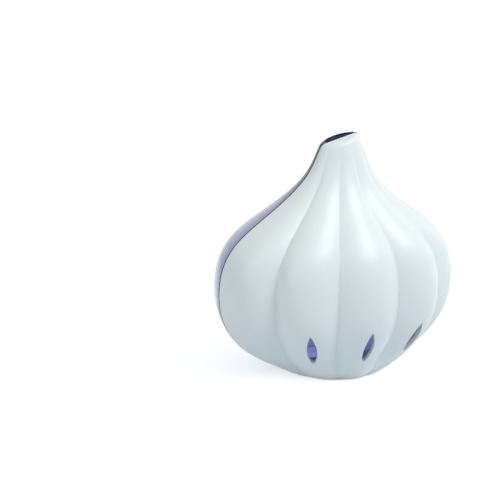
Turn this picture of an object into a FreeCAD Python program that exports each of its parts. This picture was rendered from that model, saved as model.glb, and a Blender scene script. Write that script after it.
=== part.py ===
"""Garlic keeper: a container in the shape of a garlic bulb, split down its axis into two shells.

The lobed lid shell is the -Y half and the smooth base shell is the +Y half. They meet on the
plane Y = 0, where a tongue inside the lid slips into the base. The bulb stands on its root end.
All sizes are in millimetres. Z runs up the bulb's axis, X across the seam.
"""

import FreeCAD, Part
import math
import os

# Main sizes: the height on the bulb's axis, and the width and depth of its belly
HEIGHT = 124.4
BELLY_WIDTH = 133.0
BELLY_DEPTH = 98.0

# Outline of the bulb in shares of those sizes: the height, then the width and depth there
OUTLINE = (
    (0.0, 0.379, 0.547),
    (0.05, 0.573, 0.682),
    (0.1, 0.732, 0.758),
    (0.161, 0.853, 0.855),
    (0.257, 0.961, 0.963),
    (0.378, 1.0, 1.0),
    (0.498, 0.964, 0.964),
    (0.599, 0.839, 0.839),
    (0.699, 0.595, 0.595),
    (0.796, 0.371, 0.371),
    (0.896, 0.242, 0.243),
    (1.0, 0.158, 0.161),
)

# The stalk end leans to +X and is cut on a slant
LEAN = 1.7
LEAN_START = 56.0
SLANT_ANGLE = 13.5
SLANT_START = 99.2

# Cloves moulded in the lid
CLOVE_ANGLE = 35.15
GROOVE_SHARE = 0.126
GROOVE_START = 12.4
GROOVE_END = 43.4
GROOVE_RISE_POWER = 0.5
GROOVE_FALL_POWER = 0.8

# Walls
LID_WALL = 2.0
BASE_WALL = 1.8
FOOT_EDGE_RADIUS = 1.2

# The seam: a raised band round the base, and a tongue in the lid that slips inside it
BAND_WIDTH = 2.8
BAND_STEP = 0.5
TONGUE_LENGTH = 3.0
TONGUE_THICKNESS = 1.5
TONGUE_CLEARANCE = 0.3
TONGUE_ROOT = 3.5
WALL_BITE = 0.4
SEAM_GAP = 0.5
SEAM_GAP_DEPTH = 0.8

# The cut stalk: rounded on the lid, a rim round a sunken wall on the base
LID_STALK_RADIUS = 2.0
BASE_STALK_RADIUS = 1.5
STALK_RIM = 2.4
STALK_RECESS = 1.5

# Leaf-shaped vents in the three middle cloves
VENT_LENGTH = 22.3
VENT_WIDTH = 5.3
VENT_HEIGHT = 21.2
VENT_TIP_RADIUS = 1.2
VENT_ANGLES = (-31.2, 0.0, 31.2)

# Flat on the base's back, for the keeper to lie on
BACK_FLAT_CUT = 1.6

# How finely the surfaces are drawn
SECTIONS = 18
POINT_SPACING = 6.0
FEWEST_STEPS = 6
ROUNDING_RINGS = 3
SLOPE_STEP = 0.05
INSET_STEPS = 30

base_inset = BAND_STEP + BASE_WALL
tongue_inset = base_inset + TONGUE_CLEARANCE
tongue_inside = tongue_inset + TONGUE_THICKNESS
base_top = HEIGHT - STALK_RECESS - BASE_WALL
side_groove = 1.5 * CLOVE_ANGLE
vent_cut = 3.0 * LID_WALL
back_flat = BELLY_DEPTH / 2.0 - BACK_FLAT_CUT
reach = HEIGHT + BELLY_WIDTH
half_turn = 180.0
full_turn = 2.0 * half_turn


def outline_curve():
    """A curve through the outline whose parameter is the height."""
    curve = Part.BSplineCurve()
    points = []
    for rise, wide, deep in OUTLINE:
        half = FreeCAD.Vector(wide * BELLY_WIDTH, deep * BELLY_DEPTH, 0.0) / 2.0
        points.append(half + FreeCAD.Vector(0.0, 0.0, rise * HEIGHT))
    curve.interpolate(Points=points, Parameters=[point.z for point in points])
    return curve


outline = outline_curve()


def outline_point(z):
    """Half width, half depth and height of the outer surface, straight on past both ends."""
    inside = min(max(z, 0.0), HEIGHT)
    point = outline.value(inside)
    tangent = outline.tangent(inside)[0]
    return point + tangent * ((z - inside) / tangent.z)


def half_width(z):
    return outline_point(z).x


def half_depth(z):
    return outline_point(z).y


def smooth_share(z, start, end):
    """Rises from 0 to 1 between two heights, level at both."""
    share = min(max((z - start) / (end - start), 0.0), 1.0)
    return share * share * (3.0 - 2.0 * share)


def slope_of(half_size, z):
    return (half_size(z + SLOPE_STEP) - half_size(z - SLOPE_STEP)) / (2.0 * SLOPE_STEP)


def inset_size(half_size, z, inset):
    """Half size at height z of the surface that lies a wall's thickness below the outer one."""
    source = z
    for _ in range(INSET_STEPS):
        slope = slope_of(half_size, source)
        source = z - inset * slope / math.hypot(1.0, slope)
    return half_size(source) - inset / math.hypot(1.0, slope)


def lean(z):
    return LEAN * smooth_share(z, LEAN_START, HEIGHT)


def slant(z):
    """Rise per millimetre to +X of a ring at height z."""
    share = max((z - SLANT_START) / (HEIGHT - SLANT_START), 0.0)
    return math.tan(math.radians(SLANT_ANGLE)) * share


def groove_share(z, angle):
    """Share of the radius that the groove between two cloves takes away at this angle."""
    turn = abs(angle)
    if turn > 2.0 * CLOVE_ANGLE:
        return 0.0
    off_ridge = (turn + CLOVE_ANGLE / 2.0) % CLOVE_ANGLE - CLOVE_ANGLE / 2.0
    across = 2.0 * off_ridge / CLOVE_ANGLE
    rise = min(max(z, 0.0) / GROOVE_START, 1.0) ** GROOVE_RISE_POWER
    fall = min(max(HEIGHT - z, 0.0) / GROOVE_END, 1.0) ** GROOVE_FALL_POWER
    return GROOVE_SHARE * rise * fall * across * across


def ring_edge(z, inset, shrink, cloved, start, end):
    """The part of the ring at height z between two angles from the lid's centre line."""
    steps = max(FEWEST_STEPS, round((end - start) / POINT_SPACING))
    wide = inset_size(half_width, z, inset) - shrink
    deep = inset_size(half_depth, z, inset) - shrink
    points = []
    for step in range(steps + 1):
        angle = start + (end - start) * step / steps
        turn = angle if angle <= half_turn else angle - full_turn
        kept = 1.0 - groove_share(z, turn) if cloved else 1.0
        across = wide * kept * math.sin(math.radians(angle))
        back = -deep * kept * math.cos(math.radians(angle))
        points.append(FreeCAD.Vector(across + lean(z), back, z + slant(z) * across))
    curve = Part.BSplineCurve()
    curve.interpolate(Points=points, Parameters=[float(step) for step in range(steps + 1)])
    return curve.toShape()


def ring(z, inset, shrink, cloved):
    middle = CLOVE_ANGLE / 2.0
    corners = (-side_groove, -middle, middle, side_groove, half_turn, full_turn - side_groove)
    spans = zip(corners[:-1], corners[1:])
    return Part.Wire([ring_edge(z, inset, shrink, cloved, *span) for span in spans])


def rounding(radius):
    """Distance from the end, and shrink, of the rings that round an edge off."""
    turns = [math.pi / 2.0 * step / ROUNDING_RINGS for step in range(ROUNDING_RINGS)]
    if radius == 0.0:
        return []
    return [(radius * (1.0 - math.cos(turn)), radius * (1.0 - math.sin(turn))) for turn in turns]


def bulb(inset=0.0, cloved=False, low=None, high=None, foot_radius=0.0, stalk_radius=0.0):
    """A closed bulb whose sides lie inset below the outer surface, between two heights."""
    low = inset if low is None else low
    high = HEIGHT - inset if high is None else high
    first = low + foot_radius
    rise = (high - stalk_radius - first) / (SECTIONS - 1)
    plan = [(low + along, shrink) for along, shrink in rounding(foot_radius)]
    plan += [(first + rise * step, 0.0) for step in range(SECTIONS)]
    plan += [(high - along, shrink) for along, shrink in reversed(rounding(stalk_radius))]
    return Part.makeLoft([ring(z, inset, shrink, cloved) for z, shrink in plan], True, False)


def slab(front, back):
    """Everything between two planes square to the depth."""
    corner = FreeCAD.Vector(-reach, front, -reach)
    return Part.makeBox(2.0 * reach, back - front, 2.0 * reach, corner)


def vent(degrees):
    """A leaf-shaped cutter square to the lid, along the clove at this angle from its middle."""
    angle = math.radians(degrees)
    wide = half_width(VENT_HEIGHT)
    deep = half_depth(VENT_HEIGHT)
    middle = FreeCAD.Vector(wide * math.sin(angle), -deep * math.cos(angle), VENT_HEIGHT)
    around = FreeCAD.Vector(wide * math.cos(angle), deep * math.sin(angle), 0.0)
    rise_x = slope_of(half_width, VENT_HEIGHT) * math.sin(angle)
    rise_y = -slope_of(half_depth, VENT_HEIGHT) * math.cos(angle)
    up = FreeCAD.Vector(rise_x, rise_y, 1.0).normalize()
    out = around.cross(up).normalize()
    side = up.cross(out)
    tip = middle + up * (VENT_LENGTH / 2.0)
    tail = middle - up * (VENT_LENGTH / 2.0)
    left = Part.Arc(tip, middle - side * (VENT_WIDTH / 2.0), tail).toShape()
    right = Part.Arc(tail, middle + side * (VENT_WIDTH / 2.0), tip).toShape()
    leaf = Part.Face(Part.Wire([left, right]))
    leaf.translate(out * (-vent_cut))
    cutter = leaf.extrude(out * (2.0 * vent_cut))
    lines = [edge for edge in cutter.Edges if edge.Curve.TypeId == "Part::GeomLine"]
    lowest = min(lines, key=lambda edge: edge.CenterOfMass.z)
    return cutter.makeFillet(VENT_TIP_RADIUS, [lowest])


def tongue():
    """The lid's inner lip, with the thicker root that joins it to the lid's wall."""
    top = base_top - TONGUE_CLEARANCE
    hollow = bulb(tongue_inside, high=top - TONGUE_THICKNESS)
    lip = bulb(tongue_inset, high=top).common(slab(-TONGUE_ROOT, TONGUE_LENGTH))
    root = bulb(LID_WALL - WALL_BITE, cloved=True).common(slab(-TONGUE_ROOT, 0.0))
    return lip.fuse(root).cut(hollow)


def lid_shell():
    outer = bulb(cloved=True, foot_radius=FOOT_EDGE_RADIUS, stalk_radius=LID_STALK_RADIUS)
    shell = outer.cut(bulb(LID_WALL, cloved=True)).common(slab(-reach, 0.0))
    shell = shell.fuse(tongue())
    gap = slab(-SEAM_GAP, 0.0).cut(bulb(SEAM_GAP_DEPTH))
    shell = shell.cut(gap)
    for degrees in VENT_ANGLES:
        shell = shell.cut(vent(degrees))
    return shell.removeSplitter()


def stalk_pocket():
    """Sinks the base's stalk end inside its rim."""
    return bulb(STALK_RIM, low=HEIGHT - STALK_RECESS, high=HEIGHT + STALK_RIM)


def base_shell():
    radii = {"foot_radius": FOOT_EDGE_RADIUS, "stalk_radius": BASE_STALK_RADIUS}
    band = bulb(**radii).common(slab(0.0, BAND_WIDTH))
    wall = bulb(BAND_STEP, low=0.0, high=HEIGHT, **radii).common(slab(0.0, back_flat))
    hollow = bulb(base_inset, high=base_top).common(slab(-reach, back_flat - BASE_WALL))
    shell = band.fuse(wall).cut(hollow)
    shell = shell.cut(stalk_pocket())
    return shell.removeSplitter()


def main():
    os.makedirs("parts", exist_ok=True)
    parts = {"lid_shell": lid_shell(), "base_shell": base_shell()}
    for name, shape in parts.items():
        shape.exportStep("parts/" + name + ".step")
        box = shape.BoundBox
        size = (round(box.XLength, 2), round(box.YLength, 2), round(box.ZLength, 2))
        print(name, len(shape.Solids), shape.isValid(), round(shape.Volume, 1), size)
    shared = parts["lid_shell"].common(parts["base_shell"]).Volume
    print("overlap", round(shared, 4))


main()
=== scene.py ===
"""Looks of the garlic keeper: a white clove-lobed lid pressed onto a translucent blue base.

Lengths are in metres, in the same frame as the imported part. MM turns a size in millimetres into
metres.
"""

import math

import bpy
from mathutils import Matrix, Vector

MM = 0.001

# Where the base's plastic is painted navy: painted shade at the rim of the cut stalk, the neck and
# the seam, standing in for light lost on long paths through the wall and for shade in the seam.
# The rim is measured up from the foot at x = 0, square to the slanted end of the stalk, and the
# seam along Y from the joint's face.
STALK_SLANT = math.radians(13.5)
RIM_SHADE_START = 122.7 * MM
RIM_SHADE_FADE = 0.2 * MM
NECK_SHADE_START = 88 * MM
NECK_SHADE_END = 118 * MM
NECK_SHADE_SHARE = 0.8
SEAM_SHADE_START = 0.7 * MM
SEAM_SHADE_FULL = 0.3 * MM

# Spacing of the slow waves that cooling leaves in each wall, and of the tool's fine grain
LID_WAVE = 28 * MM
BASE_WAVE = 22 * MM
TOOL_GRAIN = 1.1 * MM

FLOOR_HALF = 4.0

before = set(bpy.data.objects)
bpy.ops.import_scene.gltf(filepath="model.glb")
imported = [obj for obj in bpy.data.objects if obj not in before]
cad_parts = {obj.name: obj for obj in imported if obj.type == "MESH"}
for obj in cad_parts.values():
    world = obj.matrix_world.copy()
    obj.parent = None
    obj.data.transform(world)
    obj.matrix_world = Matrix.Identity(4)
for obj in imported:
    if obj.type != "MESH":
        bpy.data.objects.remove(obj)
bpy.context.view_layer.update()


def linear(hex_colour, alpha=1.0):
    """An sRGB hex colour as the linear colour that a shader socket takes."""
    channels = [int(hex_colour[i:i + 2], 16) / 255 for i in (1, 3, 5)]
    curve = [c / 12.92 if c <= 0.04045 else ((c + 0.055) / 1.055) ** 2.4 for c in channels]
    return (*curve, alpha)


def add(tree, kind, settings=None, links=None, **values):
    """A node of this kind, with its settings, its socket values and its incoming links."""
    node = tree.nodes.new(kind)
    for name, value in (settings or {}).items():
        setattr(node, name, value)
    for name, value in values.items():
        node.inputs[name.replace("_", " ")].default_value = value
    for socket, source in (links or {}).items():
        tree.links.new(source, node.inputs[socket])
    return node


def new_material(name):
    """A material with an empty node tree, and that tree."""
    material = bpy.data.materials.new(name)
    material.use_nodes = True
    material.node_tree.nodes.clear()
    return material, material.node_tree


def ramp(tree, value, start, end, most=1.0):
    """Rises from 0 to most as the value goes from start to end."""
    node = add(tree, "ShaderNodeMapRange", links={"Value": value},
               From_Min=start, From_Max=end, To_Min=0.0, To_Max=most)
    return node.outputs["Result"]


def larger(tree, first, second):
    """The larger of two values."""
    node = add(tree, "ShaderNodeMath", {"operation": "MAXIMUM"})
    tree.links.new(first, node.inputs[0])
    tree.links.new(second, node.inputs[1])
    return node.outputs["Value"]


def white_moulded_abs():
    """Opaque white ABS, injection moulded in a finely finished tool.

    The tool gives a soft sheen, and the slow waviness of a cooled wall bends its reflections a
    little.
    """
    material, tree = new_material("white_moulded_abs")
    place = add(tree, "ShaderNodeTexCoord")
    sink = add(tree, "ShaderNodeTexNoise", links={"Vector": place.outputs["Object"]},
               Scale=1 / LID_WAVE, Detail=2.0, Roughness=0.45)
    fine = add(tree, "ShaderNodeTexNoise", links={"Vector": place.outputs["Object"]},
               Scale=1 / TOOL_GRAIN, Detail=2.0, Roughness=0.5)
    wave = add(tree, "ShaderNodeBump", links={"Height": sink.outputs["Fac"]},
               Strength=0.25, Distance=0.35 * MM)
    skin = add(tree, "ShaderNodeBump", links={"Height": fine.outputs["Fac"],
                                              "Normal": wave.outputs["Normal"]},
               Strength=0.06, Distance=0.02 * MM)
    gloss = add(tree, "ShaderNodeMapRange", links={"Value": fine.outputs["Fac"]},
                To_Min=0.34, To_Max=0.42)
    tint = add(tree, "ShaderNodeMix", {"data_type": "RGBA"}, {"Factor": sink.outputs["Fac"]})
    tint.inputs["A"].default_value = linear("#E4ECEC")
    tint.inputs["B"].default_value = linear("#E9F0EF")
    shader = add(tree, "ShaderNodeBsdfPrincipled",
                 links={"Base Color": tint.outputs["Result"], "Roughness": gloss.outputs["Result"],
                        "Normal": skin.outputs["Normal"]},
                 IOR=1.53)
    add(tree, "ShaderNodeOutputMaterial", links={"Surface": shader.outputs["BSDF"]})
    return material


def blue_translucent_polystyrene():
    """Tinted polystyrene, injection moulded: pale where the wall is thin, navy along its edges.

    The tint is in the depth of the plastic, so light that goes a long way through it comes out
    navy.
    The rim of the cut stalk, the narrow neck and the seam's face look navy on the real one, where
    light runs a long way through the plastic and the seam lies in shade. Here that navy is painted
    shade, mixed into the colour by where they lie.
    """
    material, tree = new_material("blue_translucent_polystyrene")
    place = add(tree, "ShaderNodeTexCoord")
    apart = add(tree, "ShaderNodeSeparateXYZ", links={"Vector": place.outputs["Object"]})
    along_stalk = add(tree, "ShaderNodeVectorMath", {"operation": "DOT_PRODUCT"})
    tree.links.new(place.outputs["Object"], along_stalk.inputs[0])
    along_stalk.inputs[1].default_value = (-math.tan(STALK_SLANT), 0, 1)
    # Painted shade: navy masks by place at the stalk's rim, the neck and the seam
    rim = ramp(tree, along_stalk.outputs["Value"], RIM_SHADE_START, RIM_SHADE_START + RIM_SHADE_FADE)
    neck = ramp(tree, apart.outputs["Z"], NECK_SHADE_START, NECK_SHADE_END, NECK_SHADE_SHARE)
    seam = ramp(tree, apart.outputs["Y"], SEAM_SHADE_START, SEAM_SHADE_FULL)
    painted_shade = larger(tree, larger(tree, rim, neck), seam)
    # The colour runs from the pale blue of the plastic to a painted navy shade where the masks rise
    body_and_shade = add(tree, "ShaderNodeMix", {"data_type": "RGBA"}, {"Factor": painted_shade})
    body_and_shade.inputs["A"].default_value = linear("#C4D0F8")
    body_and_shade.inputs["B"].default_value = linear("#14185C")
    shine = add(tree, "ShaderNodeMapRange", links={"Value": painted_shade}, To_Min=1.0, To_Max=0.0)
    flow = add(tree, "ShaderNodeTexNoise", links={"Vector": place.outputs["Object"]},
               Scale=1 / BASE_WAVE, Detail=2.0, Roughness=0.5)
    wave = add(tree, "ShaderNodeBump", links={"Height": flow.outputs["Fac"]},
               Strength=0.2, Distance=0.3 * MM)
    gloss = add(tree, "ShaderNodeMapRange", links={"Value": flow.outputs["Fac"]},
                To_Min=0.14, To_Max=0.2)
    shader = add(tree, "ShaderNodeBsdfPrincipled",
                 links={"Base Color": body_and_shade.outputs["Result"], "Roughness": gloss.outputs["Result"],
                        "Coat Weight": shine.outputs["Result"], "Normal": wave.outputs["Normal"]},
                 IOR=1.58, Transmission_Weight=0.7, Coat_Roughness=0.05)
    tint = add(tree, "ShaderNodeVolumeAbsorption", Color=linear("#4458C0"), Density=300.0)
    add(tree, "ShaderNodeOutputMaterial",
        links={"Surface": shader.outputs["BSDF"], "Volume": tint.outputs["Volume"]})
    return material


def dress(node, material):
    """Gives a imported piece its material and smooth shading."""
    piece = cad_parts[node]
    piece.data.materials.clear()
    piece.data.materials.append(material)
    piece.data.shade_smooth()


# The camera that took the picture, from the keeper's outline in it
FRAME_PIXELS = 500
SENSOR = 36.0
PICTURE_AZIMUTH = math.radians(-26.37)
PICTURE_ELEVATION = math.radians(16.64)
PICTURE_ROLL = math.radians(1.23)
DISTANCE = 1854 * MM
AIM = Vector((0, 0, 55.8 * MM))
AIM_PIXEL = (332.9, 263.9)
FOCAL_PIXELS = 3512.0


def picture_camera():
    """A camera at the picture's angle, with the keeper as large and as far right as it is there."""
    azimuth, elevation, roll = PICTURE_AZIMUTH, PICTURE_ELEVATION, PICTURE_ROLL
    back = Vector((math.sin(azimuth) * math.cos(elevation),
                   -math.cos(azimuth) * math.cos(elevation), math.sin(elevation)))
    level = Vector((math.cos(azimuth), math.sin(azimuth), 0))
    upright = back.cross(level)
    right = math.cos(roll) * level + math.sin(roll) * upright
    up = -math.sin(roll) * level + math.cos(roll) * upright
    per_pixel = DISTANCE / FOCAL_PIXELS
    across = (AIM_PIXEL[0] - FRAME_PIXELS / 2) * per_pixel
    down = (AIM_PIXEL[1] - FRAME_PIXELS / 2) * per_pixel
    place = AIM + back * DISTANCE - right * across + up * down
    lens = bpy.data.cameras.new("picture_camera")
    lens.sensor_width = SENSOR
    lens.lens = FOCAL_PIXELS * SENSOR / FRAME_PIXELS
    lens.clip_end = 20
    camera = bpy.data.objects.new("picture_camera", lens)
    turn = Matrix((right, up, back)).transposed().to_4x4()
    camera.matrix_world = Matrix.Translation(place) @ turn
    bpy.context.scene.collection.objects.link(camera)
    bpy.context.scene.camera = camera


def soft_light(name, azimuth, elevation, distance, size, power):
    """A square white softbox that faces the keeper from this direction."""
    lamp = bpy.data.lights.new(name, "AREA")
    lamp.shape = "SQUARE"
    lamp.size = size
    lamp.energy = power
    light = bpy.data.objects.new(name, lamp)
    turn, lift = math.radians(azimuth), math.radians(elevation)
    out = Vector((math.sin(turn) * math.cos(lift), -math.cos(turn) * math.cos(lift),
                  math.sin(lift)))
    light.location = AIM + out * distance
    light.rotation_euler = out.to_track_quat("Z", "Y").to_euler()
    bpy.context.scene.collection.objects.link(light)


def plainly_seen(tree, seen, otherwise):
    """One shader where the picture, a reflection or the clear plastic shows it, else another."""
    path = add(tree, "ShaderNodeLightPath")
    share = path.outputs["Is Camera Ray"]
    for way in ("Is Glossy Ray", "Is Transmission Ray"):
        share = larger(tree, share, path.outputs[way])
    mix = add(tree, "ShaderNodeMixShader", links={"Fac": share})
    tree.links.new(otherwise, mix.inputs[1])
    tree.links.new(seen, mix.inputs[2])
    return mix.outputs["Shader"]


def studio_world():
    """White to the camera, and a soft, slightly cool light on the keeper."""
    world = bpy.data.worlds.new("studio")
    bpy.context.scene.world = world
    world.use_nodes = True
    tree = world.node_tree
    tree.nodes.clear()
    white = add(tree, "ShaderNodeBackground", Color=linear("#FFFFFF"), Strength=1.0)
    sky = add(tree, "ShaderNodeBackground", Color=linear("#EAEEF0"), Strength=0.5)
    add(tree, "ShaderNodeOutputWorld", links={"Surface": plainly_seen(
        tree, white.outputs["Background"], sky.outputs["Background"])})


def pale_floor():
    """A white table top, a little brighter to the camera so that only the shadow shows."""
    half = FLOOR_HALF
    mesh = bpy.data.meshes.new("floor")
    corners = [(-half, -half, 0), (half, -half, 0), (half, half, 0), (-half, half, 0)]
    mesh.from_pydata(corners, [], [(0, 1, 2, 3)])
    floor = bpy.data.objects.new("floor", mesh)
    bpy.context.scene.collection.objects.link(floor)
    material, tree = new_material("white_table")
    matt = add(tree, "ShaderNodeBsdfDiffuse", Color=linear("#F2F4F6"))
    glow = add(tree, "ShaderNodeEmission", Color=linear("#FFFFFF"), Strength=0.6)
    both = add(tree, "ShaderNodeAddShader")
    tree.links.new(matt.outputs["BSDF"], both.inputs[0])
    tree.links.new(glow.outputs["Emission"], both.inputs[1])
    bounce = add(tree, "ShaderNodeBsdfDiffuse", Color=linear("#D0D8E2"))
    add(tree, "ShaderNodeOutputMaterial", links={"Surface": plainly_seen(
        tree, both.outputs["Shader"], bounce.outputs["BSDF"])})
    mesh.materials.append(material)


dress("lid_shell", white_moulded_abs())
dress("base_shell", blue_translucent_polystyrene())

picture_camera()
studio_world()
pale_floor()
soft_light("key", 38, 52, 1.1, 0.6, 6.5)
soft_light("fill", -75, 25, 1.2, 0.8, 2.4)
soft_light("side", 95, 20, 1.2, 0.8, 1.4)
bpy.context.scene.view_settings.view_transform = "Standard"
